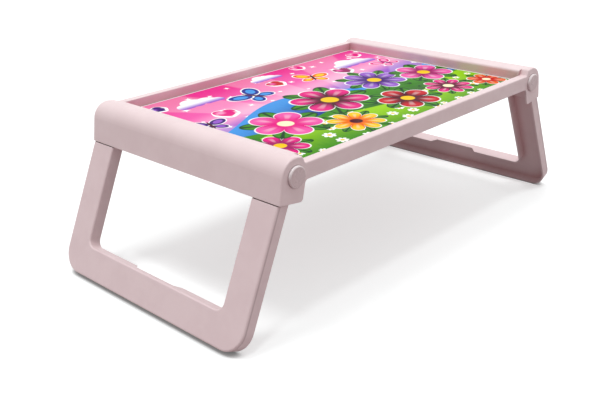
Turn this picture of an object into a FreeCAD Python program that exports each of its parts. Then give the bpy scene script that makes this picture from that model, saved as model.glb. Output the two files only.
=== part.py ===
import FreeCAD, Part
import math
import os

# Folding study table. A rimmed plastic tray holds a printed sheet in its recess. A hinge housing runs
# across each short end, and a U-shaped channel leg hangs from two plug pins in each housing. X runs along
# the tray, Y from the user's side to the far side, Z up. The origin is on the ground under the middle of
# the tray. Sizes are in mm.

# Tray
tray_length = 529.0            # over the lower edges of the two aprons
tray_width = 330.0             # over the outer faces of the rims
print_height = 186.4           # top of the printed sheet above the ground
rim_width = 12.0
front_rim_rise = 6.6           # rim above the printed sheet on the user's side
back_rim_rise = 11.6           # rim above the printed sheet on the far side
rail_height = 19.0             # outer wall of the front rim
floor_thickness = 2.0
side_wall = 2.2                # outer rim walls and housing cheeks
rim_wall = 2.0                 # top and recess side of the hollow rims
rim_edge_radius = 2.0          # outer edges along the rims and over the housings
recess_edge_radius = 1.0       # top edges of the rims along the recess

# Hinge housings
hinge_inset = 24.8             # pin axis in from the lower edge of the apron
hinge_drop = 4.9               # pin axis below the printed sheet
hinge_room = 14.0              # pin axis to the recess's end wall, for the head of the leg
housing_radius = 20.8          # rounded end of the housing, about the pin axis
housing_wall = 2.6
end_wall = 3.2                 # wall between the recess and the housing
apron_drop = 25.5              # lower edge of the apron below the pin axis
housing_edge_radius = 3.5      # top edge along the recess
cheek_length = 34.0            # along the lower edge of a cheek
cheek_lean = 13.0              # degrees, inner edge of a cheek off the vertical
cheek_corner_radius = 4.0
cheek_fillet = 5.0             # between a cheek and the rim's lower edge
shoulder_out = 6.5             # crest of the slope from cheek to rim, beyond the recess's end wall
shoulder_run = 4.0             # length of that slope along the rim
shoulder_radius = 2.8

# Ribs across the underside, between the folded legs
rib_depth = 7.0
rib_thickness = 1.6
rib_margin = 6.0               # from the ribs to the folded legs
rib_pitch = 30.0

# Printed sheet
sheet_thickness = 0.4
sheet_gap = 0.4                # to the recess walls all round
sheet_corner_radius = 2.0

# Legs
leg_splay = 23.9               # degrees off the vertical, opened
leg_depth = 15.5               # across the channel
leg_wall = 2.6
arm_width = 39.0
bar_height = 38.3              # lower bar, along the leg
leg_corner_radius = 28.0
window_corner_radius = 10.5
leg_edge_radius = 2.2
leg_side_gap = 0.5             # to the cheek on each side
stop_gap = 1.1                 # from the leg's shoulder to the apron, opened
head_gap = 0.7                 # from the leg's head to the apron's inner face
ear_thickness = 3.4
ear_fillet = 4.0
head_drop = 3.0                # closed end of the channel below the ear's rim
foot_trim = 1.0                # height taken off the lowest edge to make a flat land
notch_half_length = 34.0       # finger notch in the window flange of the lower bar
notch_slope_run = 8.0
notch_keep = 8.5               # flange left at the notch, from the outer face
notch_radius = 4.0
fold_gap = 0.3                 # folded leg to the floor's underside

# Hinge pins
pin_radius = 5.0
pin_head_radius = 12.0
pin_head_thickness = 3.2
pin_head_bevel = 1.0
pin_press_gap = 0.04           # radial, in the cheek
pin_running_gap = 0.08         # radial, in the leg's ear
pin_reach = 4.0                # past the inner face of the ear

overrun = 10.0                 # cuts run past the faces that they open
full_turn = 360.0              # degrees

# Worked-out sizes of the tray
half_length = tray_length / 2
half_width = tray_width / 2
recess_y = half_width - rim_width
cheek_y = half_width - side_wall
floor_top = print_height - sheet_thickness
floor_under = floor_top - floor_thickness
front_rim_top = print_height + front_rim_rise
back_rim_top = print_height + back_rim_rise
rail_bottom = front_rim_top - rail_height

# The recess has the length that the two housings leave. The apron's face is the tangent from its lower
# edge to the rounded end of the housing.
hinge_x = half_length - hinge_inset
recess_x = hinge_x - hinge_room - end_wall
hinge_z = print_height - hinge_drop
apron_reach = math.hypot(hinge_inset, apron_drop)
apron_lean = math.acos(housing_radius / apron_reach) - math.atan2(apron_drop, hinge_inset)
lean_cos = math.cos(apron_lean)
lean_sin = math.sin(apron_lean)
apron_z = hinge_z - apron_drop

# The leg's outer face carries on from the apron's lower edge. Sizes in the leg's own frame: the pin axis
# is at its origin, X points out of the leg's outer face, and the leg hangs straight down.
splay = math.radians(leg_splay)
face_x = hinge_inset * math.cos(splay) - apron_drop * math.sin(splay)
back_x = face_x - leg_depth
head_x = face_x - housing_wall - head_gap
shoulder_turn = splay - apron_lean
shoulder_slope = math.tan(shoulder_turn)
apron_reach_z = hinge_inset * math.sin(splay) + apron_drop * math.cos(splay)
shoulder_z = -apron_reach_z - stop_gap / math.cos(shoulder_turn)
leg_bottom = -(hinge_z + back_x * math.sin(splay) + foot_trim) / math.cos(splay)
window_bottom = leg_bottom + bar_height
leg_half_width = cheek_y - leg_side_gap
window_half_width = leg_half_width - arm_width
channel_top = -(head_x + head_drop)

# Folded, the back of the leg comes up to the lower corner of the recess's end wall.
corner_rise = floor_under - fold_gap - hinge_z
fold_tilt = math.asin(-back_x / math.hypot(hinge_room, corner_rise)) - math.atan2(corner_rise, hinge_room)
fold_angle = math.degrees(math.pi / 2 + splay - fold_tilt)


def in_xz(a, b):
    """Places a drawn point in the plane of the tray's side view."""
    return FreeCAD.Vector(a, 0, b)


def in_yz(a, b):
    """Places a drawn point in the plane of the tray's end view."""
    return FreeCAD.Vector(0, a, b)


def in_xy(a, b):
    """Places a drawn point in the plane of the tray's top view."""
    return FreeCAD.Vector(a, b, 0)


def rounded_face(corners, place):
    """A flat face through corners (a, b, radius), each rounded by its radius."""
    ends = []
    for i, (a, b, radius) in enumerate(corners):
        point = place(a, b)
        before = place(*corners[i - 1][:2]) - point
        after = place(*corners[(i + 1) % len(corners)][:2]) - point
        if radius == 0:
            ends.append((point, point, point))
            continue
        half_angle = before.getAngle(after) / 2
        before.normalize()
        after.normalize()
        middle = before + after
        middle.normalize()
        tangent = radius / math.tan(half_angle)
        bulge = radius / math.sin(half_angle) - radius
        ends.append((point + before * tangent, point + middle * bulge, point + after * tangent))
    edges = []
    for i, (start, middle, end) in enumerate(ends):
        if start != end:
            edges.append(Part.Arc(start, middle, end).toShape())
        following = ends[(i + 1) % len(ends)][0]
        edges.append(Part.LineSegment(end, following).toShape())
    return Part.Face(Part.Wire(edges))


def along_y(face, low, high):
    """Runs a side-view face from one Y to another."""
    moved = face.translated(FreeCAD.Vector(0, low, 0))
    return moved.extrude(FreeCAD.Vector(0, high - low, 0))


def block(x_range, y_range, z_range):
    """A box between pairs of limits."""
    corner = FreeCAD.Vector(x_range[0], y_range[0], z_range[0])
    return Part.makeBox(x_range[1] - x_range[0], y_range[1] - y_range[0], z_range[1] - z_range[0], corner)


def y_rod(radius, x, z, low, high):
    """A round bar along Y."""
    return Part.makeCylinder(radius, high - low, FreeCAD.Vector(x, low, z), FreeCAD.Vector(0, 1, 0))


def mirrored(shape, normal):
    """The shape's mirror image in a plane through the origin."""
    return shape.mirror(FreeCAD.Vector(0, 0, 0), normal)


def on_plane(shape, axis, value):
    """The edges that lie in the plane where one coordinate has the given value."""
    found = []
    for edge in shape.Edges:
        box = edge.BoundBox
        low = (box.XMin, box.YMin, box.ZMin)[axis]
        high = (box.XMax, box.YMax, box.ZMax)[axis]
        if abs(low - value) < Part.Precision.confusion() and abs(high - value) < Part.Precision.confusion():
            found.append(edge)
    return found


def housing_point(out, up):
    """A point given from the pin axis, along the apron's normal and up its face."""
    return (hinge_x + out * lean_cos - up * lean_sin, hinge_z + out * lean_sin + up * lean_cos)


def housing_top(x, inset):
    """Height of the housing's top face, or of a face that far inside it, at a given X."""
    start_x, start_z = housing_point(0, housing_radius - inset)
    return start_z - (start_x - x) * math.tan(apron_lean)


def frame_corners(rim_top):
    """Side view of one rim and the two cheeks at its ends, as rounded corners."""
    corner_x, corner_z = housing_point(housing_radius, housing_radius)
    inner_x = half_length - cheek_length * lean_cos
    inner_z = apron_z - cheek_length * lean_sin
    root_x = inner_x - (rail_bottom - inner_z) * math.tan(math.radians(cheek_lean))
    crest_x = recess_x + shoulder_out
    right = [
        (root_x, rail_bottom, cheek_fillet),
        (inner_x, inner_z, cheek_corner_radius),
        (half_length, apron_z, 0),
        (corner_x, corner_z, housing_radius),
        (crest_x, housing_top(crest_x, 0), shoulder_radius),
        (crest_x - shoulder_run, rim_top, shoulder_radius),
    ]
    left = [(-x, z, radius) for x, z, radius in reversed(right)]
    return right + left


def rim_frame(rim_top):
    """The rim on the user's side with its cheeks, its outer edge rounded from apron to apron."""
    face = rounded_face(frame_corners(rim_top), in_xz)
    solid = along_y(face, -half_width, -recess_y)
    upper = [edge for edge in on_plane(solid, 1, -half_width) if edge.BoundBox.ZMin > print_height]
    return solid.makeFillet(rim_edge_radius, upper)


def housing_shell():
    """Apron, rounded top and end wall of the right housing between the rims, still filled."""
    corner_x, corner_z = housing_point(housing_radius, housing_radius)
    face = rounded_face([
        (half_length, apron_z, 0),
        (corner_x, corner_z, housing_radius),
        (recess_x, housing_top(recess_x, 0), housing_edge_radius),
        (recess_x, floor_under, 0),
        (half_length - housing_wall * lean_cos, apron_z - housing_wall * lean_sin, 0),
    ], in_xz)
    return along_y(face, -recess_y, recess_y)


def housing_cavity():
    """The space inside the right housing, open below and towards the middle of the tray."""
    inner_radius = housing_radius - housing_wall
    corner_x, corner_z = housing_point(inner_radius, inner_radius)
    mouth_x, mouth_z = housing_point(inner_radius, -apron_drop - overrun)
    wall_x = recess_x + end_wall
    face = rounded_face([
        (mouth_x, mouth_z, 0),
        (corner_x, corner_z, inner_radius),
        (wall_x, housing_top(wall_x, housing_wall), 0),
        (wall_x, floor_under, 0),
        (recess_x - overrun, floor_under, 0),
        (recess_x - overrun, mouth_z - overrun, 0),
    ], in_xz)
    return along_y(face, -cheek_y, cheek_y)


def shoulder_backing(rim_top):
    """What stays filled of the cavity on the user's side, behind the slope from rim to housing."""
    crest_x = recess_x + shoulder_out + side_wall
    top = housing_top(crest_x, -overrun)
    face = rounded_face([
        (recess_x, rim_top - rim_wall, 0),
        (crest_x - shoulder_run, rim_top - rim_wall, 0),
        (crest_x, housing_top(crest_x, housing_wall), 0),
        (crest_x, top, 0),
        (recess_x, top, 0),
    ], in_xz)
    return along_y(face, -half_width, side_wall - recess_y)


def rim_hollow(rim_top):
    """The space under the rim on the user's side, open below."""
    length = (-recess_x, recess_x)
    low = rail_bottom - overrun
    inside_rim = block(length, (-cheek_y, -recess_y - rim_wall), (low, rim_top - rim_wall))
    below_floor = block(length, (-cheek_y, -recess_y), (low, floor_under))
    return inside_rim.fuse(below_floor)


def rim_roundover(rim_top):
    """What comes off the rim's top edge along the recess, on the user's side, to round it."""
    radius = recess_edge_radius
    edge = block((-recess_x, recess_x), (-recess_y - radius, -recess_y), (rim_top - radius, rim_top))
    start = FreeCAD.Vector(-recess_x, -recess_y - radius, rim_top - radius)
    return edge.cut(Part.makeCylinder(radius, recess_x + recess_x, start, FreeCAD.Vector(1, 0, 0)))


def floor_ribs():
    """Ribs across the tray from rim to rim, as many as fit between the folded legs."""
    foot_x = hinge_x + leg_bottom * math.cos(fold_tilt) - face_x * math.sin(fold_tilt) - rib_margin
    count = math.floor((foot_x + foot_x) / rib_pitch) + 1
    half = rib_thickness / 2
    ribs = []
    for i in range(count):
        x = (i - (count - 1) / 2) * rib_pitch
        ribs.append(block((x - half, x + half), (-cheek_y, cheek_y), (floor_under - rib_depth, floor_under)))
    return ribs


def tray():
    """The moulding: rims, housings, floor and ribs in one wall."""
    across = FreeCAD.Vector(1, 0, 0)
    through = FreeCAD.Vector(0, 1, 0)
    front = rim_frame(front_rim_top)
    back = mirrored(rim_frame(back_rim_top), through)
    shell = housing_shell()
    back_backing = mirrored(shoulder_backing(back_rim_top), through)
    cavity = housing_cavity().cut([shoulder_backing(front_rim_top), back_backing])
    body = front.fuse([back, shell, mirrored(shell, across)])
    body = body.cut([cavity, mirrored(cavity, across)])
    body = body.cut([rim_hollow(front_rim_top), mirrored(rim_hollow(back_rim_top), through)])
    body = body.cut([rim_roundover(front_rim_top), mirrored(rim_roundover(back_rim_top), through)])
    floor = block((-recess_x, recess_x), (-recess_y, recess_y), (floor_under, floor_top))
    body = body.fuse([floor] + floor_ribs())
    bore = pin_radius + pin_press_gap
    reach = half_width + overrun
    holes = [y_rod(bore, x, hinge_z, -reach, reach) for x in (-hinge_x, hinge_x)]
    return body.cut(holes).removeSplitter()


def printed_sheet():
    """The thin sheet that lies on the floor of the recess."""
    x = recess_x - sheet_gap
    y = recess_y - sheet_gap
    radius = sheet_corner_radius
    face = rounded_face([(-x, -y, radius), (x, -y, radius), (x, y, radius), (-x, y, radius)], in_xy)
    return face.translated(FreeCAD.Vector(0, 0, floor_top)).extrude(FreeCAD.Vector(0, 0, sheet_thickness))


def u_face(inset, top):
    """Front view of the leg, or of a U that far inside its outline, open at the top."""
    outer = leg_half_width - inset
    inner = window_half_width + inset
    outer_radius = leg_corner_radius - inset
    inner_radius = window_corner_radius + inset
    low = leg_bottom + inset
    sill = window_bottom - inset
    return rounded_face([
        (-outer, top, 0), (-outer, low, outer_radius), (outer, low, outer_radius), (outer, top, 0),
        (inner, top, 0), (inner, sill, inner_radius), (-inner, sill, inner_radius), (-inner, top, 0),
    ], in_yz)


def leg_side(inset, back):
    """Side view of the leg, or of a form that far inside its outer face, run across its width."""
    ledge = shoulder_slope * inset - inset / math.cos(shoulder_turn)
    face = rounded_face([
        (face_x - inset, shoulder_z + ledge, 0),
        (face_x - inset, leg_bottom - overrun, 0),
        (back, leg_bottom - overrun, 0),
        (back, channel_top, 0),
        (head_x - inset, channel_top, 0),
        (head_x - inset, shoulder_z + ledge + shoulder_slope * (face_x - head_x), 0),
    ], in_xz)
    return along_y(face, -leg_half_width - overrun, leg_half_width + overrun)


def channel():
    """The U-shaped channel: a rounded outer face with a wall all round, open at the back."""
    through = FreeCAD.Vector(leg_depth + overrun, 0, 0)
    outline = u_face(0, channel_top).translated(FreeCAD.Vector(back_x, 0, 0)).extrude(through)
    solid = outline.common(leg_side(0, back_x))
    face_edges = on_plane(solid, 0, face_x)
    rounded = [edge for edge in face_edges if edge.BoundBox.ZMin < shoulder_z - leg_wall]
    solid = solid.makeFillet(leg_edge_radius, rounded)
    open_x = back_x - overrun
    pocket = u_face(leg_wall, channel_top - leg_wall).translated(FreeCAD.Vector(open_x, 0, 0))
    pocket = pocket.extrude(FreeCAD.Vector(face_x - open_x, 0, 0))
    return solid.cut(pocket.common(leg_side(leg_wall, open_x)))


def ear():
    """The plate round the pin at the head of the front arm, blended into the back of the arm."""
    radius = head_x
    blend_x = back_x - ear_fillet
    blend_z = -math.sqrt((radius + ear_fillet) ** 2 - blend_x ** 2)
    ratio = radius / (radius + ear_fillet)
    blend_angle = math.atan2(-blend_z, -blend_x) / 2
    start = in_xz(radius, 0)
    end = in_xz(blend_x * ratio, blend_z * ratio)
    top = in_xz(0, radius)
    hollow_x = blend_x + ear_fillet * math.cos(blend_angle)
    hollow_z = blend_z + ear_fillet * math.sin(blend_angle)
    foot = in_xz(back_x, blend_z)
    low_back = in_xz(back_x, shoulder_z)
    low_front = in_xz(radius, shoulder_z)
    wire = Part.Wire([
        Part.Arc(start, top, end).toShape(),
        Part.Arc(end, in_xz(hollow_x, hollow_z), foot).toShape(),
        Part.LineSegment(foot, low_back).toShape(),
        Part.LineSegment(low_back, low_front).toShape(),
        Part.LineSegment(low_front, start).toShape(),
    ])
    return along_y(Part.Face(wire), -leg_half_width, ear_thickness - leg_half_width)


def finger_notch():
    """The cut in the window flange of the lower bar, with sloped ends."""
    deep_x = face_x - notch_keep
    open_x = back_x - overrun
    open_half = notch_half_length + notch_slope_run * (deep_x - open_x) / (deep_x - back_x)
    face = rounded_face([
        (deep_x, -notch_half_length, notch_radius), (deep_x, notch_half_length, notch_radius),
        (open_x, open_half, 0), (open_x, -open_half, 0),
    ], in_xy)
    low = window_bottom - leg_wall - leg_edge_radius
    height = window_bottom + overrun - low
    return face.translated(FreeCAD.Vector(0, 0, low)).extrude(FreeCAD.Vector(0, 0, height))


def right_leg():
    """The leg opened, with its lowest edge trimmed flat to the ground."""
    front_ear = ear()
    body = channel().fuse([front_ear, mirrored(front_ear, FreeCAD.Vector(0, 1, 0))])
    bore = y_rod(pin_radius + pin_running_gap, 0, 0, -half_width, half_width)
    body = body.cut([finger_notch(), bore]).removeSplitter()
    body.rotate(FreeCAD.Vector(0, 0, 0), FreeCAD.Vector(0, 1, 0), -leg_splay)
    body.translate(FreeCAD.Vector(hinge_x, 0, hinge_z))
    ground = block((0, tray_length), (-tray_width, tray_width), (-overrun, 0))
    return body.cut(ground)


def hinge_pin():
    """The right front pin: a bevelled head and a shank pressed through the cheek into the leg's ear."""
    shank = side_wall + leg_side_gap + ear_thickness + pin_reach
    outline = [
        (0, -pin_head_thickness),
        (pin_head_radius - pin_head_bevel, -pin_head_thickness),
        (pin_head_radius, pin_head_bevel - pin_head_thickness),
        (pin_head_radius, 0),
        (pin_radius, 0),
        (pin_radius, shank),
        (0, shank),
    ]
    wire = Part.makePolygon([FreeCAD.Vector(r, y, 0) for r, y in outline + outline[:1]])
    axis = FreeCAD.Vector(0, 1, 0)
    solid = Part.Face(wire).revolve(FreeCAD.Vector(0, 0, 0), axis, full_turn)
    return solid.translated(FreeCAD.Vector(hinge_x, -half_width, hinge_z))


def save(name, shape):
    """Writes one piece and says how large it is."""
    box = shape.BoundBox
    sizes = " x ".join(f"{size:.1f}" for size in (box.XLength, box.YLength, box.ZLength))
    state = "valid" if shape.isValid() else "not valid"
    print(f"{name}: {sizes} mm, volume {shape.Volume:.0f} mm3, {len(shape.Solids)} solid, {state}")
    shape.exportStep(f"parts/{name}.step")


os.makedirs("parts", exist_ok=True)
to_left = FreeCAD.Vector(1, 0, 0)
to_back = FreeCAD.Vector(0, 1, 0)
leg = right_leg()
pin = hinge_pin()
left_pin = mirrored(pin, to_left)
save("tray", tray())
save("printed_sheet", printed_sheet())
save("left_leg", mirrored(leg, to_left))
save("right_leg", leg)
save("hinge_pin_right_front", pin)
save("hinge_pin_right_back", mirrored(pin, to_back))
save("hinge_pin_left_front", left_pin)
save("hinge_pin_left_back", mirrored(left_pin, to_back))
print(f"pin axes at X {hinge_x:.3f} and Z {hinge_z:.3f}, each leg folds by {fold_angle:.2f} degrees")
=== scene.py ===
# %% [markdown]
# A folding study table, dressed for its picture.
# The table is a moulded plastic tray with a printed sheet in its recess and two U-shaped legs on plug pins.
# Its solid pieces come in at their real size and in their real places, so nothing here moves or resizes them.
# The lesson adds what a solid can't hold: the satin of the plastic, the print, the floor, the light and
# the view.

# %% Load the table
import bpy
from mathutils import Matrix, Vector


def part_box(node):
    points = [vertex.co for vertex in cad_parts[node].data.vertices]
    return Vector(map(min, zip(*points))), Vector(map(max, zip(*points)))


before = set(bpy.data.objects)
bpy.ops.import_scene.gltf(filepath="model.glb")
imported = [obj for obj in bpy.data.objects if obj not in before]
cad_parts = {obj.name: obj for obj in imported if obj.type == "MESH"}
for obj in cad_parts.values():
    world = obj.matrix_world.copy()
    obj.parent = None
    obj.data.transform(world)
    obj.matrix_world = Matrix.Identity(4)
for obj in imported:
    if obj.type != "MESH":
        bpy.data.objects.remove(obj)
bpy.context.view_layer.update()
print("pieces:", ", ".join(sorted(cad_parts)))

# %% [markdown]
# The camera stands low at the corner between the near end and the user's side, a little above the tray.
# A camera can be turned by three angles, but a matrix built from three directions is easier to check:
# one axis points right, one up, and the camera looks along the third, backwards.
# The small roll is the tilt of a hand-held picture.

# %% Camera
import math

import bpy
from mathutils import Matrix, Vector

scene = bpy.context.scene
camera_place = Vector((-0.81759, -0.72237, 0.49179))
camera_heading = math.radians(46.279)
camera_pitch = math.radians(-22.713)
camera_roll = math.radians(-1.238)
camera_lens = 50.595


def looking(heading, pitch, roll):
    """The turn of a camera that looks along a heading from +Y towards +X, raised by a pitch and rolled."""
    level = math.cos(pitch)
    ahead = Vector((math.sin(heading) * level, math.cos(heading) * level, math.sin(pitch)))
    right = ahead.cross(Vector((0, 0, 1))).normalized()
    up = right.cross(ahead)
    rolled_right = right * math.cos(roll) + up * math.sin(roll)
    rolled_up = up * math.cos(roll) - right * math.sin(roll)
    return Matrix((rolled_right, rolled_up, -ahead)).transposed().to_4x4()


view = bpy.data.cameras.new("view")
view.lens = camera_lens
camera = bpy.data.objects.new("view", view)
camera.matrix_world = Matrix.Translation(camera_place) @ looking(camera_heading, camera_pitch, camera_roll)
scene.collection.objects.link(camera)
scene.camera = camera
print(f"camera {camera_place.length:.2f} m from the ground under the middle of the tray")

# %% [markdown]
# Every finish below is a graph of shader nodes. Wired one by one, a formula such as x times x plus y times y
# takes a dozen lines, so a small class wraps an output socket and gives it arithmetic.
# Each sum or product adds one Math node, and what comes back can be used in the next formula.

# %% Formulas out of nodes
class Field:
    """A number that changes over a surface: an output socket with arithmetic."""

    def __init__(self, tree, socket):
        self.tree = tree
        self.socket = socket

    def apply(self, operation, *others):
        node = self.tree.nodes.new("ShaderNodeMath")
        node.operation = operation
        for socket, value in zip(node.inputs, (self, *others)):
            feed(self.tree, socket, value)
        return Field(self.tree, node.outputs[0])

    def __add__(self, other):
        return self.apply("ADD", other)

    def __sub__(self, other):
        return self.apply("SUBTRACT", other)

    def __mul__(self, other):
        return self.apply("MULTIPLY", other)

    def __truediv__(self, other):
        return self.apply("DIVIDE", other)

    def root(self):
        return self.apply("SQRT")

    def size(self):
        return self.apply("ABSOLUTE")


def feed(tree, socket, value):
    """Links a field or an output to a socket, or sets the socket to a plain value."""
    if isinstance(value, Field):
        value = value.socket
    if isinstance(value, bpy.types.NodeSocket):
        tree.links.new(value, socket)
    else:
        socket.default_value = value


def split(tree, vector):
    """The three axes of a vector, as fields."""
    node = tree.nodes.new("ShaderNodeSeparateXYZ")
    feed(tree, node.inputs[0], vector)
    return [Field(tree, output) for output in node.outputs]


def ease(field, start, end, first=0.0, last=1.0):
    """Goes smoothly from a first value to a last one while the field goes from start to end."""
    node = field.tree.nodes.new("ShaderNodeMapRange")
    node.interpolation_type = "SMOOTHSTEP"
    for socket, value in zip(node.inputs, (field, start, end, first, last)):
        feed(field.tree, socket, value)
    return Field(field.tree, node.outputs["Result"])


def inside(distance, softness):
    """A mask that is one where a distance is below zero."""
    return ease(distance, -softness, softness, 1.0, 0.0)


def paint_over(tree, under, over, mask):
    """One colour laid over another through a mask. The node's first eight inputs end with its colours."""
    node = tree.nodes.new("ShaderNodeMix")
    node.data_type = "RGBA"
    factor, *_, under_socket, over_socket = node.inputs[:8]
    feed(tree, factor, mask)
    feed(tree, under_socket, under)
    feed(tree, over_socket, over)
    return node.outputs[2]


print("formula helpers:", ", ".join(helper.__name__ for helper in (feed, split, ease, inside, paint_over)))

# %% [markdown]
# An effect that several finishes share is a node group: built once, then placed in each material with its
# own values. Two calls do the work here. One makes an empty group with named sockets, the other places it.

# %% Node groups
def new_group(name, inputs, outputs):
    """An empty shader group with named sockets, and the sockets of its input node and its output node."""
    tree = bpy.data.node_groups.new(name, "ShaderNodeTree")
    for in_out, sockets in (("INPUT", inputs), ("OUTPUT", outputs)):
        for label, kind in sockets.items():
            tree.interface.new_socket(label, in_out=in_out, socket_type="NodeSocket" + kind)
    return tree, tree.nodes.new("NodeGroupInput").outputs, tree.nodes.new("NodeGroupOutput").inputs


def place_group(tree, group, values):
    """Places a group in a node tree, feeds its inputs and gives its outputs."""
    node = tree.nodes.new("ShaderNodeGroup")
    node.node_tree = group
    for label, value in values.items():
        feed(tree, node.inputs[label], value)
    return node.outputs


print("group helpers:", new_group.__name__, place_group.__name__)

# %% [markdown]
# Moulded plastic isn't smooth. The steel mould is spark-eroded to a fine satin grain, and the colour of the
# pellets is never mixed quite evenly. The grain group gives both: a height for the grain, a broad mottle for
# the colour, and a patchy shine where hands and boxes have rubbed the satin down.

# %% Moulded grain
grain_detail = 2.0
blotch_detail = 3.0
mottle_range = (0.35, 0.65)
rubs_per_blotch = 4.0
rub_detail = 5.0
rubbed_range = (0.42, 0.62)


def noise(tree, place, scale, detail):
    node = tree.nodes.new("ShaderNodeTexNoise")
    feed(tree, node.inputs["Vector"], place)
    feed(tree, node.inputs["Scale"], scale)
    feed(tree, node.inputs["Detail"], detail)
    return Field(tree, node.outputs[0])


def moulded_grain_group():
    tree, given, result = new_group(
        "Moulded grain",
        {"Place": "Vector", "Grains per metre": "Float", "Blotches per metre": "Float"},
        {"Height": "Float", "Mottle": "Float", "Rubbed": "Float"},
    )
    place = given["Place"]
    feed(tree, result["Height"], noise(tree, place, given["Grains per metre"], grain_detail))
    blotches = noise(tree, place, given["Blotches per metre"], blotch_detail)
    feed(tree, result["Mottle"], ease(blotches, *mottle_range))
    rubs = noise(tree, place, Field(tree, given["Blotches per metre"]) * rubs_per_blotch, rub_detail)
    feed(tree, result["Rubbed"], ease(rubs, *rubbed_range))
    return tree


moulded_grain = moulded_grain_group()
print("group:", moulded_grain.name)

# %% [markdown]
# No edge of a moulding is a true corner: the melt doesn't fill one, and handling dulls what is left.
# The solids carry the large roundings. The finest ones, of a millimetre or so, come from the Bevel node,
# which bends the normal near a corner. Where the bent normal leaves the true one there is an edge, so the
# same node also gives the mask for the pale line along the edges, partly wear and partly a painted highlight.

# %% Soft edges
bevel_samples = 6
edge_range = (0.995, 0.88)


def soft_edges_group():
    tree, given, result = new_group(
        "Soft edges", {"Radius": "Float"}, {"Normal": "Vector", "Edge": "Float"}
    )
    bevel = tree.nodes.new("ShaderNodeBevel")
    bevel.samples = bevel_samples
    feed(tree, bevel.inputs["Radius"], given["Radius"])
    flat = tree.nodes.new("ShaderNodeNewGeometry")
    alike = tree.nodes.new("ShaderNodeVectorMath")
    alike.operation = "DOT_PRODUCT"
    feed(tree, alike.inputs[0], bevel.outputs["Normal"])
    feed(tree, alike.inputs[1], flat.outputs["Normal"])
    feed(tree, result["Normal"], bevel.outputs["Normal"])
    feed(tree, result["Edge"], ease(Field(tree, alike.outputs["Value"]), *edge_range))
    return tree


soft_edges = soft_edges_group()
print("group:", soft_edges.name)

# %% [markdown]
# Light that gets into a hollow bounces from pink to pink and comes out deeper and warmer. Here that shade is
# painted into the colour. The Ambient Occlusion node measures how much of the sky a point has lost to what
# stands near it. It can look at the piece alone, or at all that stands there. There are two groups of painted
# shade: that in the hollows of a piece, such as the channel of a leg, is what the piece alone shades within a
# far reach, and that in a seam, such as that at a leg's head, is what its neighbours shade besides, within a
# few millimetres.

# %% Painted shade in hollows and seams
shelter_samples = 8
hollow_shade_range = (0.95, 0.20)
seam_shade_range = (0.05, 0.80)


def open_share(tree, reach, own_piece_only):
    """The share of a point's sky that is open within a reach."""
    node = tree.nodes.new("ShaderNodeAmbientOcclusion")
    node.samples = shelter_samples
    node.only_local = own_piece_only
    feed(tree, node.inputs["Distance"], reach)
    return Field(tree, node.outputs["AO"])


def hollow_shade_group():
    tree, given, result = new_group("Hollow shade", {"Reach": "Float"}, {"Shaded": "Float"})
    alone = open_share(tree, given["Reach"], own_piece_only=True)
    feed(tree, result["Shaded"], ease(alone, *hollow_shade_range))
    return tree


def seam_shade_group():
    tree, given, result = new_group("Seam shade", {"Reach": "Float"}, {"Shaded": "Float"})
    alone = open_share(tree, given["Reach"], own_piece_only=True)
    together = open_share(tree, given["Reach"], own_piece_only=False)
    feed(tree, result["Shaded"], ease(alone - together, *seam_shade_range))
    return tree


hollow_shade = hollow_shade_group()
seam_shade = seam_shade_group()
print("groups:", hollow_shade.name, seam_shade.name)

# %% [markdown]
# Two marks are too fine for the solids. A slight step runs round each leg behind its outer face, where the
# two halves of its mould met, and its shade is painted as a dark line. The head of each pin gets a painted
# highlight where its round side looks up.
# A painted picture could hold such marks. Masks worked out from a point's place and normal on its own piece
# follow the solids by themselves, and they stay on the piece when it moves.

# %% Painted shade of the parting step and painted highlight on the pins
outward_share = 0.8
parting_depth = 0.0034
parting_half_width = 0.0010
parting_softness = 0.0008
parting_shade_share = 0.35
line_start_inset = 0.026
line_full_inset = 0.014
sideways_range = (0.8, 0.5)
head_side_range = (0.9, 0.5)
head_top_range = (-0.1, 0.4)


def surface_place(tree):
    """Where a point lies on its own piece, in metres, so that the finish moves with the piece."""
    return tree.nodes.new("ShaderNodeTexCoord").outputs["Object"]


def surface_normal(tree):
    """Which way the surface faces on its own piece."""
    return tree.nodes.new("ShaderNodeTexCoord").outputs["Normal"]


def outer_face(leg):
    """Which way the broad outer face of the leg at the +X end looks, and how far out that way it lies."""
    outward = [face for face in leg.data.polygons if face.normal.x > outward_share]
    broad = max(outward, key=lambda face: face.area)
    return broad.normal, broad.normal.dot(broad.center)


def parting_line_shade(tree):
    """A mask for the painted shade of the parting step: a line round the outline of a leg, at one depth
    behind its outer face, and not round its window. The legs are mirror images, so the sizes of x and of the
    normal's x serve both."""
    look, reach = outer_face(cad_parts["right_leg"])
    x, y, z = split(tree, surface_place(tree))
    behind = x.size() * -look.x - z * look.z + reach
    line = inside((behind - parting_depth).size() - parting_half_width, parting_softness)
    half_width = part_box("right_leg")[1].y
    round_outline = ease(y.size(), half_width - line_start_inset, half_width - line_full_inset)
    out, _, _ = split(tree, surface_normal(tree))
    return line * round_outline * ease(out.size(), *sideways_range) * parting_shade_share


def pin_head_highlight(tree):
    """A mask for the painted highlight on the side of a pin's head, which faces away from the pin's axis,
    where it looks up.
    """
    _, along, up = split(tree, surface_normal(tree))
    return ease(along.size(), *head_side_range) * ease(up, *head_top_range)


print(f"parting line {1000 * parting_depth:.1f} mm behind the outer face of a leg")

# %% [markdown]
# The tray, the legs and the pins are moulded in the same dusty pink. They leave different moulds, so each
# has its own grain and shine: the legs are the coarsest, the tray is finer, and the pin heads are the finest,
# the glossiest and the deepest. Each edge gets a pale line, partly wear and partly a painted highlight, and
# the pin heads get the palest, which is a painted highlight.
# Three materials could be wired by hand. One function with their differences as its values keeps them alike.

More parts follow.
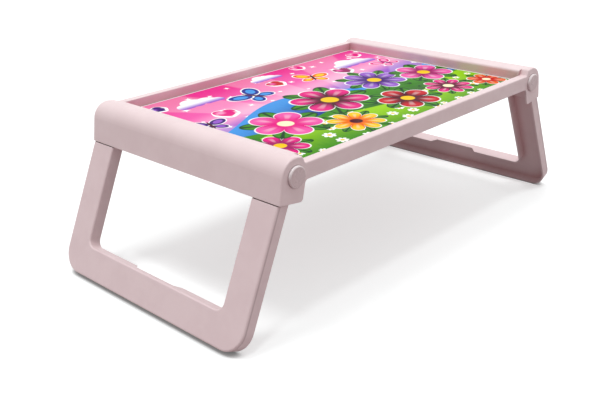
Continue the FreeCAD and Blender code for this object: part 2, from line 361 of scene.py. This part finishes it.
# %% Dusty pink plastic
blotches_per_metre = 26.0
mottle_share = 0.3
grain_height = 0.00006
grain_strength = 0.35
plastic_specular = 0.6


def new_finish(name):
    """A material, its node tree and the inputs of its shader."""
    material = bpy.data.materials.new(name)
    material.use_nodes = True
    return material, material.node_tree, material.node_tree.nodes["Principled BSDF"].inputs


def grained_normal(tree, height, normal):
    """The soft-edged normal with the grain's height pressed into it."""
    bump = tree.nodes.new("ShaderNodeBump")
    feed(tree, bump.inputs["Strength"], grain_strength)
    feed(tree, bump.inputs["Distance"], grain_height)
    feed(tree, bump.inputs["Height"], height)
    feed(tree, bump.inputs["Normal"], normal)
    return bump.outputs["Normal"]


def pink_plastic(
    name, pinks, grains, satin, shine, freshness, edge_radius, edge_highlight_pink, dark_places,
    mark=None, mark_colour=None,
):
    """A pink moulding: its deep and its fresh pink, grains per metre, roughness where it is satin and where
    it is rubbed, the least share of the fresh pink, how round its edges are and the pale colour painted on
    them as wear and highlight, the painted shade in its hollows and seams, and a mark with its colour, if
    any: the painted shade of the mould's parting step or a painted highlight."""
    material, tree, shader = new_finish(name)
    grain = place_group(tree, moulded_grain, {
        "Place": surface_place(tree), "Grains per metre": grains, "Blotches per metre": blotches_per_metre,
    })
    edge = place_group(tree, soft_edges, {"Radius": edge_radius})
    fresh = ease(Field(tree, grain["Mottle"]), 0.0, 1.0, freshness, freshness + mottle_share)
    colour = paint_over(tree, *pinks, fresh)
    # Painted highlight: the edges go paler, partly as wear.
    colour = paint_over(tree, colour, edge_highlight_pink, edge["Edge"])
    if mark:
        colour = paint_over(tree, colour, mark_colour, mark(tree))
    # Painted shade: hollows take a deeper, warmer pink and seams a dark brown, where Ambient Occlusion finds
    # them.
    for shelter, reach, shade in dark_places:
        shaded = place_group(tree, shelter, {"Reach": reach})["Shaded"]
        colour = paint_over(tree, colour, shade, shaded)
    feed(tree, shader["Base Color"], colour)
    polish = Field(tree, grain["Rubbed"]).apply("MAXIMUM", edge["Edge"])
    feed(tree, shader["Roughness"], ease(polish, 0.0, 1.0, satin, shine))
    feed(tree, shader["Normal"], grained_normal(tree, grain["Height"], edge["Normal"]))
    shader["Specular IOR Level"].default_value = plastic_specular
    return material


print(f"grain {1e6 * grain_height:.0f} micrometres high")

# %% Tray, leg and pin finishes
dusty_pink = (0.820, 0.668, 0.680, 1.0)
# Painted edge highlights, partly wear: the worn pink on the tray and legs, the polished pink on the pins.
worn_highlight_pink = (0.870, 0.748, 0.757, 1.0)
polished_highlight_pink = (0.970, 0.925, 0.930, 1.0)
deep_pink = (0.740, 0.585, 0.600, 1.0)
pin_pink = (0.600, 0.457, 0.470, 1.0)
# Painted shade: the pink of the hollows and the brown of the seams.
hollow_shade_pink = (0.570, 0.315, 0.322, 1.0)
seam_shade_brown = (0.170, 0.095, 0.098, 1.0)
hollow_shade_reach = 0.022
tray_seam_shade_reach = 0.0025
leg_seam_shade_reach = 0.0035
pin_seam_shade_reach = 0.0006

finishes = {
    "tray": pink_plastic(
        "tray satin", (deep_pink, dusty_pink), grains=2600.0, satin=0.50, shine=0.40, freshness=0.70,
        edge_radius=0.0007, edge_highlight_pink=worn_highlight_pink,
        dark_places=((hollow_shade, hollow_shade_reach, hollow_shade_pink), (seam_shade, tray_seam_shade_reach, seam_shade_brown)),
    ),
    "leg": pink_plastic(
        "leg satin", (deep_pink, dusty_pink), grains=2000.0, satin=0.54, shine=0.43, freshness=0.30,
        edge_radius=0.0007, edge_highlight_pink=worn_highlight_pink,
        dark_places=((hollow_shade, hollow_shade_reach, hollow_shade_pink), (seam_shade, leg_seam_shade_reach, seam_shade_brown)),
        # Painted shade of the parting step, as a dark line.
        mark=parting_line_shade, mark_colour=seam_shade_brown,
    ),
    "pin": pink_plastic(
        "pin polish", (pin_pink, deep_pink), grains=3200.0, satin=0.36, shine=0.24, freshness=0.10,
        edge_radius=0.0016, edge_highlight_pink=polished_highlight_pink,
        dark_places=((seam_shade, pin_seam_shade_reach, seam_shade_brown),),
        # Painted highlight on the upper side of each pin head.
        mark=pin_head_highlight, mark_colour=polished_highlight_pink,
    ),
}
print("finishes:", ", ".join(material.name for material in finishes.values()))

# %% [markdown]
# The sheet in the recess is printed paper under a clear film. A picture file would be the usual way,
# but a print can also be drawn by formulas, which stay sharp at any distance and need no file.
# Each motif is a group that paints itself over the colour under it. It first moves to its own place, so that
# its formula can work round zero with a size of one.

# %% Motif places
motif_inputs = {"Under": "Color", "Place": "Vector", "Centre": "Vector", "Size": "Float", "Turn": "Float"}
place_inputs = {label: kind for label, kind in motif_inputs.items() if label != "Under"}


def motif_place_group():
    tree, given, result = new_group("Motif place", place_inputs, {"X": "Float", "Y": "Float"})
    shift = tree.nodes.new("ShaderNodeVectorMath")
    shift.operation = "SUBTRACT"
    feed(tree, shift.inputs[0], given["Place"])
    feed(tree, shift.inputs[1], given["Centre"])
    turn = tree.nodes.new("ShaderNodeVectorRotate")
    turn.rotation_type = "Z_AXIS"
    feed(tree, turn.inputs["Vector"], shift.outputs[0])
    feed(tree, turn.inputs["Angle"], Field(tree, given["Turn"]) * -1.0)
    x, y, _ = split(tree, turn.outputs[0])
    feed(tree, result["X"], x / Field(tree, given["Size"]))
    feed(tree, result["Y"], y / Field(tree, given["Size"]))
    return tree


motif_place = motif_place_group()


def new_motif(name, extra):
    """A motif's group: its tree, its inputs, its result and the axes of its own place."""
    tree, given, result = new_group(name, {**motif_inputs, **extra}, {"Colour": "Color"})
    axes = place_group(tree, motif_place, {label: given[label] for label in place_inputs})
    return tree, given, result, Field(tree, axes["X"]), Field(tree, axes["Y"])


print("group:", motif_place.name)

# %% [markdown]
# A blossom is drawn in polar coordinates: the cosine of the angle, times half the number of petals, swells
# and shrinks once for each petal. An outline lies under the petals, as on a sticker, and the petals shade
# from a deep throat, and from the creases between them, to their own colour. The leaves that look out from
# under a blossom are drawn the same way, with a sharper swell and a dark vein along the middle of each.
# Layers of flat ink through masks are kinder to the renderer than mixed inks, which fill its short memory.

# %% Leaves
white = (1.0, 1.0, 1.0, 1.0)
line_softness = 0.02
leaf_sharpness = 1.6
leaf_length = 0.75
leaf_start = 0.5
leaf_rim = 0.07
leaf_rim_softness = 0.05
vein_range = (0.999, 0.985)


def polar(x, y):
    """How far a point is from zero, and at what angle."""
    return (x * x + y * y).root(), y.apply("ARCTAN2", x)


def swelling(tree, angle, count):
    """One on the middle line of each of so many lobes round the centre, and zero between two lobes."""
    return (angle * Field(tree, count) * 0.5).apply("COSINE").size()


def leaves_group():
    tree, given, result, x, y = new_motif("Leaves", {"Leaves": "Float", "Leaf": "Color", "Shade": "Color"})
    radius, angle = polar(x, y)
    swell = swelling(tree, angle, given["Leaves"])
    beyond = radius - (swell.apply("POWER", leaf_sharpness) * leaf_length + leaf_start)
    colour = paint_over(tree, given["Under"], given["Shade"], inside(beyond, line_softness))
    flesh = inside(beyond + leaf_rim, leaf_rim_softness) * ease(swell, *vein_range)
    feed(tree, result["Colour"], paint_over(tree, colour, given["Leaf"], flesh))
    return tree


leaves = leaves_group()
print("group:", leaves.name)

# %% Blossom
petal_sharpness = 0.55
petal_length = 0.52
petal_start = 0.48
outline_width = 0.05
throat_range = (0.2, 0.8)
crease_range = (0.1, 0.75)
gleam_across = (0.9, 1.0)
gleam_inner = (0.3, 0.6)
gleam_outer = (0.95, 0.6)
gleam_share = 0.28
eye_radius = 0.23


def blossom_group():
    extra = {"Petals": "Float", "Petal": "Color", "Throat": "Color", "Eye": "Color"}
    tree, given, result, x, y = new_motif("Blossom", extra)
    radius, angle = polar(x, y)
    swell = swelling(tree, angle, given["Petals"])
    beyond = radius - (swell.apply("POWER", petal_sharpness) * petal_length + petal_start)
    petal = inside(beyond, line_softness)
    colour = paint_over(tree, given["Under"], white, inside(beyond - outline_width, line_softness))
    colour = paint_over(tree, colour, given["Throat"], petal)
    bright = petal * ease(radius, *throat_range) * ease(swell, *crease_range)
    colour = paint_over(tree, colour, given["Petal"], bright)
    gleam = ease(swell, *gleam_across) * ease(radius, *gleam_inner) * ease(radius, *gleam_outer) * gleam_share
    colour = paint_over(tree, colour, white, gleam)
    colour = paint_over(tree, colour, given["Eye"], inside(radius - eye_radius, line_softness))
    feed(tree, result["Colour"], colour)
    return tree


blossom = blossom_group()
print("group:", blossom.name)

# %% [markdown]
# A butterfly needs only one side: taking the size of x folds the plane, and both wings come out alike.
# Each wing is an ellipse that leans outwards, with a paler ellipse inside it, and the body is a slim one.

# %% Butterfly
upper_wing = (0.50, 0.38, 0.52, 0.34, math.radians(38))
lower_wing = (0.36, -0.34, 0.38, 0.27, math.radians(-42))
butterfly_body = (0.0, 0.0, 0.08, 0.55, 0.0)
wing_outline = 0.16
wing_softness = 0.04
spot_width_share = 0.62
spot_height_share = 0.58
spot_softness = 0.10


def ellipse(x, y, centre_x, centre_y, half_width, half_height, lean):
    """How far a point is outside a leaning ellipse, counted in ellipse sizes."""
    along = (x - centre_x) * math.cos(lean) + (y - centre_y) * math.sin(lean)
    across = (y - centre_y) * math.cos(lean) - (x - centre_x) * math.sin(lean)
    return polar(along / half_width, across / half_height)[0] - 1.0


def butterfly_group():
    tree, given, result, x, y = new_motif("Butterfly", {"Wing": "Color", "Spot": "Color", "Body": "Color"})
    fold = x.size()
    colour = given["Under"]
    for wing in (lower_wing, upper_wing):
        centre_x, centre_y, half_width, half_height, lean = wing
        spot = (centre_x, centre_y, half_width * spot_width_share, half_height * spot_height_share, lean)
        away = ellipse(fold, y, *wing)
        inner = ellipse(fold, y, *spot)
        colour = paint_over(tree, colour, white, inside(away - wing_outline, wing_softness))
        colour = paint_over(tree, colour, given["Wing"], inside(away, wing_softness))
        colour = paint_over(tree, colour, given["Spot"], inside(inner, spot_softness))
    body = inside(ellipse(x, y, *butterfly_body), spot_softness)
    feed(tree, result["Colour"], paint_over(tree, colour, given["Body"], body))
    return tree


butterfly = butterfly_group()
print("group:", butterfly.name)

# %% [markdown]
# Clouds are circles run together, with a darker belly. A smooth minimum joins the circles without a crease.
# Hearts come from one closed formula in x and y that is below zero inside the heart.

# %% Clouds and hearts
puffs = ((-0.62, -0.08, 0.32), (-0.14, 0.14, 0.46), (0.42, 0.02, 0.38), (0.78, -0.14, 0.24))
puff_blend = 0.08
cloud_bottom = -0.32
belly_range = (-0.30, 0.18)
heart_outline = 0.55
heart_softness = 0.06
heart_glow_x = -0.4
heart_glow_y = 0.5
heart_glow_range = (0.1, 0.7)


def cloud_group():
    tree, given, result, x, y = new_motif("Cloud", {"Belly": "Color"})
    away = None
    for centre_x, centre_y, radius in puffs:
        puff = polar(x - centre_x, y - centre_y)[0] - radius
        away = puff if away is None else away.apply("SMOOTH_MIN", puff, puff_blend)
    away = away.apply("MAXIMUM", (y - cloud_bottom) * -1.0)
    puffy = paint_over(tree, given["Belly"], white, ease(y, *belly_range))
    feed(tree, result["Colour"], paint_over(tree, given["Under"], puffy, inside(away, line_softness)))
    return tree


def heart_group():
    tree, given, result, x, y = new_motif("Heart", {"Heart": "Color", "Glow": "Color"})
    ring = x * x + y * y - 1.0
    away = ring * ring * ring - x * x * y * y * y
    colour = paint_over(tree, given["Under"], white, inside(away - heart_outline, heart_softness))
    from_glow = polar(x - heart_glow_x, y - heart_glow_y)[0]
    shade = paint_over(tree, given["Glow"], given["Heart"], ease(from_glow, *heart_glow_range))
    feed(tree, result["Colour"], paint_over(tree, colour, shade, inside(away, heart_softness)))
    return tree


cloud = cloud_group()
heart = heart_group()
print("groups:", cloud.name, heart.name)

# %% [markdown]
# Small things that repeat, such as daisies in the grass and sparkles in the sky, are scattered. A Voronoi
# texture deals the surface into cells and tells each point where its cell's own middle is, so one formula
# round that middle draws a motif in every cell. Its random colour makes the motifs differ in size and turn.

# %% Scattered motifs
cell_randomness = 0.75
least_size_share = 0.5
size_spread = 0.6
turn_spread = 2.0


def scatter_group(name, draw):
    """A group that draws one small motif in each cell of a random pattern, where its mask allows."""
    tree, given, result = new_group(
        name,
        {"Under": "Color", "Place": "Vector", "Cells per metre": "Float", "Size": "Float", "Where": "Float",
         "Main": "Color", "Middle": "Color"},
        {"Colour": "Color"},
    )
    cells = tree.nodes.new("ShaderNodeTexVoronoi")
    cells.voronoi_dimensions = "2D"
    feed(tree, cells.inputs["Vector"], given["Place"])
    feed(tree, cells.inputs["Scale"], given["Cells per metre"])
    cells.inputs["Randomness"].default_value = cell_randomness
    luck = tree.nodes.new("ShaderNodeSeparateColor")
    feed(tree, luck.inputs[0], cells.outputs["Color"])
    axes = place_group(tree, motif_place, {
        "Place": given["Place"], "Centre": cells.outputs["Position"],
        "Size": Field(tree, given["Size"]) * (Field(tree, luck.outputs[0]) * size_spread + least_size_share),
        "Turn": Field(tree, luck.outputs[1]) * turn_spread,
    })
    draw(tree, given, result, Field(tree, axes["X"]), Field(tree, axes["Y"]))
    return tree


print("a scattered motif is from", least_size_share, "to", least_size_share + size_spread, "of its size")

# %% Daisies and sparkles
daisy_petals = 7
daisy_sharpness = 0.5
daisy_petal_length = 0.6
daisy_petal_start = 0.4
daisy_eye_radius = 0.34
daisy_softness = 0.06
sparkle_glow_range = (0.9, 0.0)
sparkle_glow_share = 0.35
sparkle_softness = 0.08


def draw_daisy(tree, given, result, x, y):
    radius, angle = polar(x, y)
    swell = (angle * (daisy_petals / 2)).apply("COSINE").size()
    reach = swell.apply("POWER", daisy_sharpness) * daisy_petal_length + daisy_petal_start
    where = Field(tree, given["Where"])
    petals = inside(radius - reach, daisy_softness) * where
    colour = paint_over(tree, given["Under"], given["Main"], petals)
    eye = inside(radius - daisy_eye_radius, daisy_softness) * where
    feed(tree, result["Colour"], paint_over(tree, colour, given["Middle"], eye))


def draw_sparkle(tree, given, result, x, y):
    beyond = x.size().root() + y.size().root() - 1.0
    where = Field(tree, given["Where"])
    glow = ease(polar(x, y)[0], *sparkle_glow_range) * sparkle_glow_share * where
    colour = paint_over(tree, given["Under"], given["Middle"], glow)
    star = inside(beyond, sparkle_softness) * where
    feed(tree, result["Colour"], paint_over(tree, colour, given["Main"], star))


daisies = scatter_group("Scattered daisies", draw_daisy)
sparkles = scatter_group("Scattered sparkles", draw_sparkle)
print("groups:", daisies.name, sparkles.name)

# %% [markdown]
# Now the print itself: a garden of a child's bright colours. It goes on in layers, as ink does: the sky with
# its rays, sparkles and clouds, then the hills and the daisies in the grass, and on top the butterflies, the
# hearts and the large blossoms. Places are shares of the sheet's half length and half width.

# %% Print inks
def ink(red, green, blue):
    """A screen colour from 0 to 255, taken by the sRGB curve to the linear colour that shaders count in."""
    shares = [level / 255 for level in (red, green, blue)]
    linear = [s / 12.92 if s <= 0.04045 else ((s + 0.055) / 1.055) ** 2.4 for s in shares]
    return (*linear, 1.0)


hot_pink = ink(226, 14, 128)
candy_pink = ink(236, 84, 168)
blush = ink(247, 160, 202)
magenta = ink(150, 6, 92)
lilac = ink(148, 86, 200)
violet = ink(60, 20, 112)
sky_blue = ink(64, 150, 226)
royal_blue = ink(16, 40, 140)
lime = ink(150, 208, 0)
leaf = ink(58, 136, 14)
grass_shade = ink(10, 60, 24)
sun_yellow = ink(252, 200, 10)
orange = ink(234, 98, 8)
red = ink(198, 8, 28)
wine = ink(72, 2, 30)
cream = ink(255, 240, 200)
sheet_low, sheet_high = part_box("printed_sheet")
sheet_half = (sheet_high - sheet_low) / 2
print(f"sheet {2000 * sheet_half.x:.0f} x {2000 * sheet_half.y:.0f} mm")

# %% [markdown]
# The sky fades through five inks, along a line that leans a little, with pale rays from a point low on the
# sheet. A colour ramp could hold the inks. Bands that ease over one another are simpler to set by height.
# A hill is all that lies below a sine wave. It fades from its crest to its foot, and a noise that is
# stretched upwards streaks the fade like grass.

# %% Sky
sky_turn_share = -0.14
sky_bands = (
    (lilac, -0.35, 0.05, 1.0),
    (blush, 0.02, 0.30, 1.0),
    (candy_pink, 0.26, 0.56, 1.0),
    (hot_pink, 0.52, 0.95, 0.7),
)
ray_count = 13
ray_middle_x_share = -0.1
ray_middle_y_share = -0.9
ray_softness = 0.15
ray_share = 0.16
sparkles_per_metre = 26.0
sparkle_size = 0.0085


def sky(tree, place, x, y):
    """An evening sky from violet behind the hills to hot pink, with pale rays and sparkles."""
    height = y / sheet_half.y + x * (sky_turn_share / sheet_half.x)
    colour = violet
    for band, start, end, share in sky_bands:
        colour = paint_over(tree, colour, band, ease(height, start, end, 0.0, share))
    _, angle = polar(x - sheet_half.x * ray_middle_x_share, y - sheet_half.y * ray_middle_y_share)
    ray = ease((angle * ray_count).apply("SINE"), -ray_softness, ray_softness) * ray_share
    colour = paint_over(tree, colour, white, ray)
    return place_group(tree, sparkles, {
        "Under": colour, "Place": place, "Where": 1.0,
        "Cells per metre": sparkles_per_metre, "Size": sparkle_size, "Main": white, "Middle": cream,
    })["Colour"]


print("sky with", len(sky_bands) + 1, "inks and", ray_count, "rays")

# %% Hills
hill_waves = 1.2
hill_shares = (
    (0.04, 0.20, 2.6, sky_blue, royal_blue),
    (-0.24, 0.12, 0.4, leaf, grass_shade),
    (-0.46, 0.10, 3.9, lime, leaf),
)
hill_depth_share = 0.62
hill_softness = 0.0006
blades_per_metre = 420.0
blade_stretch = (1.0, 0.12, 1.0)
blade_detail = 2.0
blade_reach = 0.02


def hill(tree, place, x, y, under, level_share, swell_share, phase, crest, foot):
    """A hill with a rounded crest, darker towards its foot, streaked by grass. Gives colour and mask."""
    wave = (x * (hill_waves * math.pi / sheet_half.x) + phase).apply("SINE")
    below = y - (wave * swell_share + level_share) * sheet_half.y
    blades = tree.nodes.new("ShaderNodeMapping")
    feed(tree, blades.inputs["Vector"], place)
    blades.inputs["Scale"].default_value = blade_stretch
    streak = noise(tree, blades.outputs["Vector"], blades_per_metre, blade_detail)
    slope = ease(below + (streak - 0.5) * blade_reach, -hill_depth_share * sheet_half.y, 0.0)
    mask = inside(below, hill_softness)
    return paint_over(tree, under, paint_over(tree, foot, crest, slope), mask), mask


print("hills:", len(hill_shares), "with", hill_waves, "waves each")

# %% [markdown]
# The motifs are placed one by one, as a pattern drawer would: the large blossoms low, the clouds high, the
# butterflies and hearts between them. A random scatter is quicker, but it would let blossoms hide one
# another. Each row gives a place and a size, then the petals, the turn and the inks of a motif that has them.

# %% Where the motifs lie
cloud_shares = (
    (-0.62, 0.70, 0.17), (0.02, 0.84, 0.13), (0.70, 0.60, 0.19),
)
blossom_shares = (
    (-0.86, -0.62, 0.150, 6, 10, hot_pink, magenta, sun_yellow),
    (-0.58, -0.28, 0.205, 5, 40, candy_pink, hot_pink, cream),
    (-0.30, -0.66, 0.160, 8, 0, sun_yellow, orange, wine),
    (-0.08, -0.10, 0.235, 6, 25, hot_pink, wine, sun_yellow),
    (0.24, -0.58, 0.185, 5, 12, red, wine, sun_yellow),
    (0.44, 0.02, 0.200, 7, 5, lilac, violet, sun_yellow),
    (0.62, -0.62, 0.150, 8, 20, hot_pink, wine, cream),
    (0.80, -0.16, 0.185, 5, 30, candy_pink, magenta, sun_yellow),
    (0.90, -0.76, 0.120, 6, 0, orange, red, cream),
)
butterfly_shares = (
    (-0.30, 0.50, 0.150, 24, royal_blue, sky_blue, wine),
    (0.24, 0.52, 0.120, -30, orange, sun_yellow, wine),
    (-0.86, 0.14, 0.115, -18, violet, lilac, wine),
    (0.86, 0.36, 0.105, 14, hot_pink, blush, violet),
)
heart_shares = (
    (-0.66, 0.28, 0.060, -14, hot_pink, blush), (-0.02, 0.62, 0.050, 12, red, candy_pink),
    (0.50, 0.46, 0.055, -8, magenta, candy_pink), (-0.86, 0.80, 0.045, 20, violet, lilac),
    (0.36, 0.88, 0.042, 6, hot_pink, blush), (0.88, 0.80, 0.042, -20, hot_pink, blush),
)
daisies_per_metre = 34.0
daisy_size = 0.0085


def seat(centre_x_share, centre_y_share, size_share, turn=0.0):
    """A motif's place, size and turn from its shares of the sheet, and degrees."""
    return {
        "Centre": (centre_x_share * sheet_half.x, centre_y_share * sheet_half.y, 0.0),
        "Size": size_share * sheet_half.x, "Turn": math.radians(turn),
    }


print("motifs:", len(blossom_shares) + len(butterfly_shares) + len(heart_shares) + len(cloud_shares))

# %% Garden print
def flat_place(tree):
    """The place on the sheet with no height, as a vector and as its two axes."""
    x, y, _ = split(tree, surface_place(tree))
    flat = tree.nodes.new("ShaderNodeCombineXYZ")
    feed(tree, flat.inputs["X"], x)
    feed(tree, flat.inputs["Y"], y)
    return flat.outputs[0], x, y


def garden(tree):
    """The whole print, layer on layer. Gives its colour, and the place on the sheet with its axes."""
    place, x, y = flat_place(tree)
    colour = sky(tree, place, x, y)
    for shares in cloud_shares:
        values = {"Under": colour, "Place": place, "Belly": lilac, **seat(*shares)}
        colour = place_group(tree, cloud, values)["Colour"]
    for shares in hill_shares:
        colour, meadow = hill(tree, place, x, y, colour, *shares)
    colour = place_group(tree, daisies, {
        "Under": colour, "Place": place, "Where": meadow,
        "Cells per metre": daisies_per_metre, "Size": daisy_size, "Main": white, "Middle": sun_yellow,
    })["Colour"]
    for *shares, wing, spot, body in butterfly_shares:
        values = {"Under": colour, "Place": place, "Wing": wing, "Spot": spot, "Body": body, **seat(*shares)}
        colour = place_group(tree, butterfly, values)["Colour"]
    for *shares, main, glow in heart_shares:
        values = {"Under": colour, "Place": place, "Heart": main, "Glow": glow, **seat(*shares)}
        colour = place_group(tree, heart, values)["Colour"]
    for x_share, y_share, size_share, petals, turn, petal, throat, eye in blossom_shares:
        between_petals = turn + 180 / petals
        values = {"Place": place, **seat(x_share, y_share, size_share, between_petals)}
        colour = place_group(tree, leaves, {
            **values, "Under": colour, "Leaves": float(petals), "Leaf": leaf, "Shade": grass_shade,
        })["Colour"]
        colour = place_group(tree, blossom, {
            **values, "Under": colour, "Petals": float(petals), "Petal": petal, "Throat": throat, "Eye": eye,
            "Turn": math.radians(turn),
        })["Colour"]
    return colour, place, x, y


layers = cloud_shares + hill_shares + butterfly_shares + heart_shares + blossom_shares
print("layers over the sky:", len(layers), "and the daisies")

# %% [markdown]
# The film over the print is a matt one, which keeps its colours deep from a low eye, and lies almost flat.
# A slow waviness bends the little that it reflects, and finger marks dull it in places. The print stops short
# of the cut edge, which leaves a thin white border.

# %% Printed laminate
border_width = 0.0022
border_softness = 0.0003
film_satin = 0.28
film_smudged = 0.42
film_specular = 0.02
smudges_per_metre = 34.0
smudge_detail = 5.0
smudged_range = (0.48, 0.70)
waves_per_metre = 14.0
wave_detail = 1.0
wave_height = 0.0004
wave_strength = 0.2


def printed_laminate():
    material, tree, shader = new_finish("printed laminate")
    colour, place, x, y = garden(tree)
    to_edge = (x.size() - sheet_half.x).apply("MAXIMUM", y.size() - sheet_half.y) + border_width
    feed(tree, shader["Base Color"], paint_over(tree, white, colour, inside(to_edge, border_softness)))
    smudges = noise(tree, place, smudges_per_metre, smudge_detail)
    feed(tree, shader["Roughness"], ease(smudges, *smudged_range, film_satin, film_smudged))
    bump = tree.nodes.new("ShaderNodeBump")
    bump.inputs["Strength"].default_value = wave_strength
    bump.inputs["Distance"].default_value = wave_height
    feed(tree, bump.inputs["Height"], noise(tree, place, waves_per_metre, wave_detail))
    feed(tree, shader["Normal"], bump.outputs["Normal"])
    shader["Specular IOR Level"].default_value = film_specular
    return material


finishes["sheet"] = printed_laminate()
print("print nodes:", len(finishes["sheet"].node_tree.nodes))

# %% [markdown]
# Each piece gets its finish through its own material slot. The solids keep their shape.

# %% Dress the pieces
finish_of = {"tray": "tray", "printed_sheet": "sheet", "left_leg": "leg", "right_leg": "leg"}
for name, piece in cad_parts.items():
    finish = finish_of.get(name, "pin")
    for material_slot in piece.material_slots:
        material_slot.material = finishes[finish]
    print(name, "wears", finishes[finish].name)

# %% [markdown]
# The picture's ground is white paper. A floor lit to plain white keeps only a faint shadow, so the floor's
# own white is part glow, which only the camera and mirrors see, and part paper that takes the shadow.
# The paper is a cool white, which takes back the pink that the table throws on it. A painted contact shadow
# darkens glow and paper in the narrow gap beside a foot, which the seam shade group finds with a short reach.
# All other rays meet a pinkish grey floor, so that not too much light comes up under the table.

# %% Floor finish
floor_glow_share = 0.55
paper_white = (0.585, 0.612, 0.612, 1.0)
floor_grey = (0.42, 0.33, 0.335, 1.0)
contact_shadow_grey = (0.24, 0.24, 0.24, 1.0)
contact_shadow_reach = 0.009


def seen_directly(tree):
    """One for rays from the camera, and for those that a gloss or a glass sends on."""
    rays = tree.nodes.new("ShaderNodeLightPath")
    seen = Field(tree, rays.outputs["Is Camera Ray"])
    for label in ("Is Glossy Ray", "Is Transmission Ray"):
        seen = seen.apply("MAXIMUM", rays.outputs[label])
    return seen


def mix_shaders(tree, factor, first, second):
    node = tree.nodes.new("ShaderNodeMixShader")
    for socket, value in zip(node.inputs, (factor, first, second)):
        feed(tree, socket, value)
    return node.outputs[0]


def paper_floor():
    material, tree, _ = new_finish("paper floor")
    tree.nodes.remove(tree.nodes["Principled BSDF"])
    # Painted contact shadow: glow and paper go grey in the narrow gap beside a foot.
    contact_shadow = place_group(tree, seam_shade, {"Reach": contact_shadow_reach})["Shaded"]
    paper = tree.nodes.new("ShaderNodeBsdfDiffuse")
    feed(tree, paper.inputs["Color"], paint_over(tree, paper_white, contact_shadow_grey, contact_shadow))
    glow = tree.nodes.new("ShaderNodeEmission")
    glow.inputs["Strength"].default_value = floor_glow_share
    feed(tree, glow.inputs["Color"], paint_over(tree, white, contact_shadow_grey, contact_shadow))
    lit = tree.nodes.new("ShaderNodeAddShader")
    feed(tree, lit.inputs[0], paper.outputs[0])
    feed(tree, lit.inputs[1], glow.outputs[0])
    grey = tree.nodes.new("ShaderNodeBsdfDiffuse")
    grey.inputs["Color"].default_value = floor_grey
    surface = mix_shaders(tree, seen_directly(tree), grey.outputs[0], lit.outputs[0])
    feed(tree, tree.nodes["Material Output"].inputs["Surface"], surface)
    return material


floor_finish = paper_floor()
print("finish:", floor_finish.name)

# %% Floor
floor_reach = 14.0
corners = [(x * floor_reach, y * floor_reach, 0.0) for x, y in ((-1, -1), (1, -1), (1, 1), (-1, 1))]
floor_mesh = bpy.data.meshes.new("floor")
floor_mesh.from_pydata(corners, [], [(0, 1, 2, 3)])
floor_mesh.materials.append(floor_finish)
floor = bpy.data.objects.new("floor", floor_mesh)
scene.collection.objects.link(floor)
print(f"floor {2 * floor_reach:.0f} m wide")

# %% [markdown]
# The light is a studio's: a soft key high on the far side, a crisper one on the user's side, a wide box
# beyond the far end, and the pale room all round. The keys' two shadows overlap in a dark core, and the box
# lifts the core's far half. Suns with a wide angle do this well, because their light doesn't fade with
# distance: the floor stays evenly white out to the horizon.

# %% Lamps
lamps = {
    "far side key": ((0.20, -0.18, -1.0), 18.0, 1.08),
    "user's side key": ((0.14, 0.15, -1.0), 7.0, 0.58),
    "far end box": ((-0.60, 0.05, -1.0), 80.0, 0.68),
}
for name, (travel, width, strength) in lamps.items():
    sun = bpy.data.lights.new(name, "SUN")
    sun.angle = math.radians(width)
    sun.energy = strength
    lamp = bpy.data.objects.new(name, sun)
    lamp.rotation_mode = "QUATERNION"
    lamp.rotation_quaternion = Vector(travel).to_track_quat("-Z", "Y")
    scene.collection.objects.link(lamp)
print("lamps:", ", ".join(lamps))

# %% [markdown]
# The room sends the same soft white from all sides. The camera, and what gloss and glass show, see a full
# white behind the floor instead, as in front of a paper sweep. More light would do that too, but it would
# bleach the table.

# %% Pale room
room_light = 0.45
world = bpy.data.worlds.new("pale room")
world.use_nodes = True
scene.world = world
room = world.node_tree.nodes["Background"]
room.inputs["Color"].default_value = white
room.inputs["Strength"].default_value = room_light
backdrop = world.node_tree.nodes.new("ShaderNodeBackground")
backdrop.inputs["Color"].default_value = white
surround = mix_shaders(world.node_tree, seen_directly(world.node_tree), room.outputs[0], backdrop.outputs[0])
feed(world.node_tree, world.node_tree.nodes["World Output"].inputs["Surface"], surround)
scene.view_settings.view_transform = "Standard"
print("room light", room_light)
